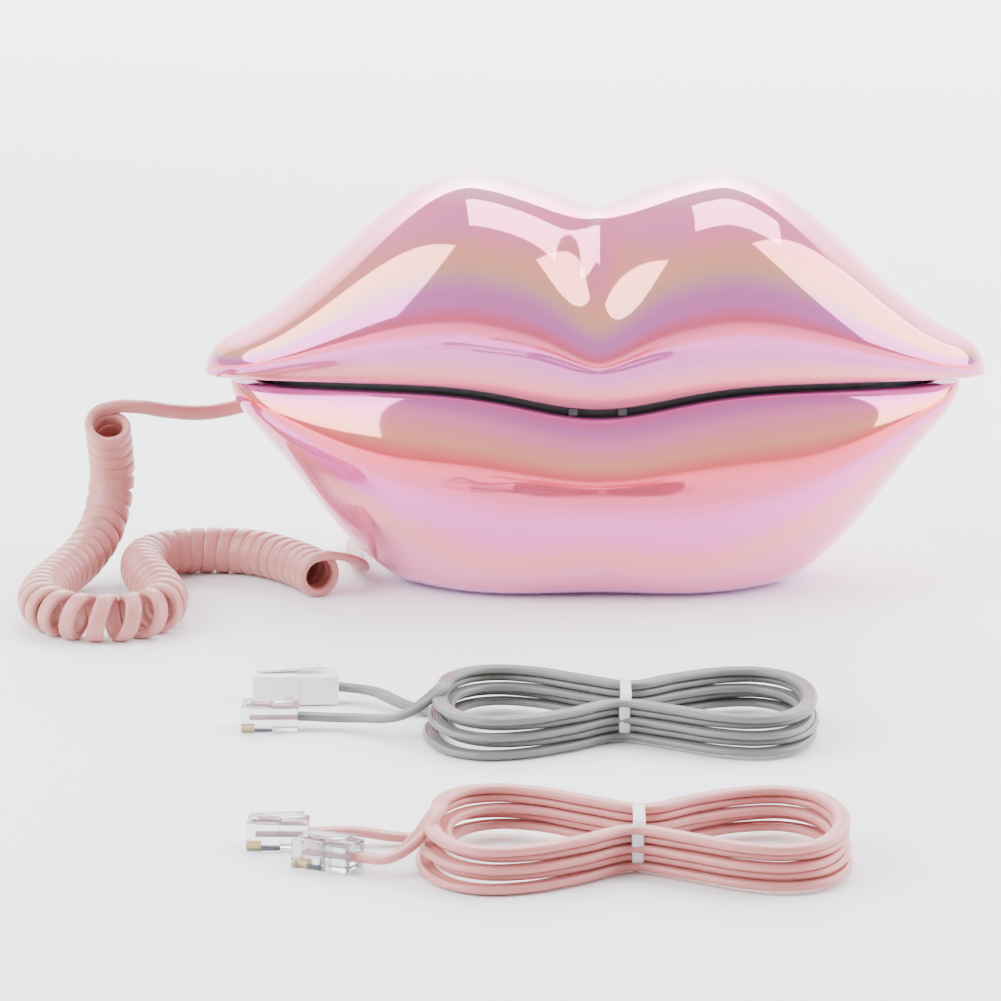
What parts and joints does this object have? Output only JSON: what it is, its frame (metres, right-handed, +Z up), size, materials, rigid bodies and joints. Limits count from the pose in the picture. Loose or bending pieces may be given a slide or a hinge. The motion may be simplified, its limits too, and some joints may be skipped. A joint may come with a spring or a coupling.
{
  "type": "novelty telephone",
  "caption": "Corded desk telephone shaped as closed lips: the upper lip is the handset, the lower lip the base, with curly cord and two hanked line cords.",
  "frame": {"origin": "on the table, under the middle of the telephone's box", "axes": "+X to the right seen from the front, the front faces -Y, +Z up"},
  "size_m": [0.2683, 0.3866, 0.1154],
  "materials": {
    "pearl_plastic": "iridescent pearl pink, high gloss",
    "black_plastic": "fine satin moulded",
    "black_rubber": "matte",
    "grey_rubber": "matte silicone",
    "steel": "brushed",
    "circuit_board": "solder mask",
    "brass_disc": "satin",
    "grey_plastic": "satin",
    "clear_plastic": "clear moulded polycarbonate",
    "white_plastic": "satin gloss",
    "salmon_cord": "soft satin vinyl",
    "grey_cord": "soft satin vinyl",
    "wire_tie": "satin vinyl"
  },
  "bodies": {
    "base": {"lower_lip_shell": "pearl_plastic", "cradle_tray": "black_plastic", "bottom_cover": "black_plastic", "rubber_feet": "black_rubber", "rest_pads": "grey_rubber", "main_board": "circuit_board", "base_weight": "steel", "ringer_disc": "brass_disc", "ringer_switch": "steel", "line_jack": "black_plastic", "base_cord_jack": "black_plastic", "hook_switch": "black_plastic", "hook_spring": "steel", "base_screws": "steel", "curly_coil": "salmon_cord", "base_lead": "salmon_cord", "base_plug": "clear_plastic", "grey_hank": "grey_cord", "grey_tie": "wire_tie", "grey_tail_a": "grey_cord", "grey_tail_b": "grey_cord", "grey_wall_plug": "white_plastic", "grey_phone_plug": "clear_plastic", "pink_hank": "salmon_cord", "pink_tie": "wire_tie", "pink_tail_a": "salmon_cord", "pink_tail_b": "salmon_cord", "pink_plug_a": "clear_plastic", "pink_plug_b": "clear_plastic"},
    "handset": {"upper_lip_shell": "pearl_plastic", "face_plate": "black_plastic", "earpiece_grille": "black_plastic", "receiver_capsule": "steel", "microphone_capsule": "steel", "microphone_boot": "black_rubber", "keypad_mat": "grey_rubber", "keypad_board": "circuit_board", "handset_weight": "steel", "handset_jack": "black_plastic", "handset_screws": "steel", "handset_plug": "clear_plastic", "handset_lead": "salmon_cord"},
    "hook_plunger": {"hook_plunger": "grey_plastic"},
    "ringer_knob": {"ringer_knob": "grey_plastic"},
    "key_1": {"key_1": "grey_plastic"},
    "key_2": {"key_2": "grey_plastic"},
    "key_3": {"key_3": "grey_plastic"},
    "key_4": {"key_4": "grey_plastic"},
    "key_5": {"key_5": "grey_plastic"},
    "key_6": {"key_6": "grey_plastic"},
    "key_7": {"key_7": "grey_plastic"},
    "key_8": {"key_8": "grey_plastic"},
    "key_9": {"key_9": "grey_plastic"},
    "key_star": {"key_star": "grey_plastic"},
    "key_0": {"key_0": "grey_plastic"},
    "key_hash": {"key_hash": "grey_plastic"},
    "key_redial": {"key_redial": "grey_plastic"},
    "key_flash": {"key_flash": "grey_plastic"}
  },
  "joints": [
    {"name": "handset_lift", "type": "slide", "parent": "base", "child": "handset", "axis": [0, 0, 1], "range_m": [0, 0.06]},
    {"name": "hook_rise", "type": "slide", "parent": "base", "child": "hook_plunger", "axis": [0, 0, 1], "range_m": [0, 0.0036], "deforming": ["hook_spring"]},
    {"name": "ringer_slide", "type": "slide", "parent": "base", "child": "ringer_knob", "axis": [1, 0, 0], "range_m": [-0.002, 0.002]},
    {"name": "key_1_press", "type": "slide", "parent": "handset", "child": "key_1", "axis": [0, 0, 1], "range_m": [0, 0.001], "stiffness_N_per_m": 250, "springref_m": -0.0005},
    {"name": "key_2_press", "type": "slide", "parent": "handset", "child": "key_2", "axis": [0, 0, 1], "range_m": [0, 0.001], "stiffness_N_per_m": 250, "springref_m": -0.0005},
    {"name": "key_3_press", "type": "slide", "parent": "handset", "child": "key_3", "axis": [0, 0, 1], "range_m": [0, 0.001], "stiffness_N_per_m": 250, "springref_m": -0.0005},
    {"name": "key_4_press", "type": "slide", "parent": "handset", "child": "key_4", "axis": [0, 0, 1], "range_m": [0, 0.001], "stiffness_N_per_m": 250, "springref_m": -0.0005},
    {"name": "key_5_press", "type": "slide", "parent": "handset", "child": "key_5", "axis": [0, 0, 1], "range_m": [0, 0.001], "stiffness_N_per_m": 250, "springref_m": -0.0005},
    {"name": "key_6_press", "type": "slide", "parent": "handset", "child": "key_6", "axis": [0, 0, 1], "range_m": [0, 0.001], "stiffness_N_per_m": 250, "springref_m": -0.0005},
    {"name": "key_7_press", "type": "slide", "parent": "handset", "child": "key_7", "axis": [0, 0, 1], "range_m": [0, 0.001], "stiffness_N_per_m": 250, "springref_m": -0.0005},
    {"name": "key_8_press", "type": "slide", "parent": "handset", "child": "key_8", "axis": [0, 0, 1], "range_m": [0, 0.001], "stiffness_N_per_m": 250, "springref_m": -0.0005},
    {"name": "key_9_press", "type": "slide", "parent": "handset", "child": "key_9", "axis": [0, 0, 1], "range_m": [0, 0.001], "stiffness_N_per_m": 250, "springref_m": -0.0005},
    {"name": "key_star_press", "type": "slide", "parent": "handset", "child": "key_star", "axis": [0, 0, 1], "range_m": [0, 0.001], "stiffness_N_per_m": 250, "springref_m": -0.0005},
    {"name": "key_0_press", "type": "slide", "parent": "handset", "child": "key_0", "axis": [0, 0, 1], "range_m": [0, 0.001], "stiffness_N_per_m": 250, "springref_m": -0.0005},
    {"name": "key_hash_press", "type": "slide", "parent": "handset", "child": "key_hash", "axis": [0, 0, 1], "range_m": [0, 0.001], "stiffness_N_per_m": 250, "springref_m": -0.0005},
    {"name": "key_redial_press", "type": "slide", "parent": "handset", "child": "key_redial", "axis": [0, 0, 1], "range_m": [0, 0.001], "stiffness_N_per_m": 250, "springref_m": -0.0005},
    {"name": "key_flash_press", "type": "slide", "parent": "handset", "child": "key_flash", "axis": [0, 0, 1], "range_m": [0, 0.001], "stiffness_N_per_m": 250, "springref_m": -0.0005}
  ],
  "couplings": [
    {"joint": "hook_rise", "follows": "handset_lift", "ratio": 0.06}
  ]
}
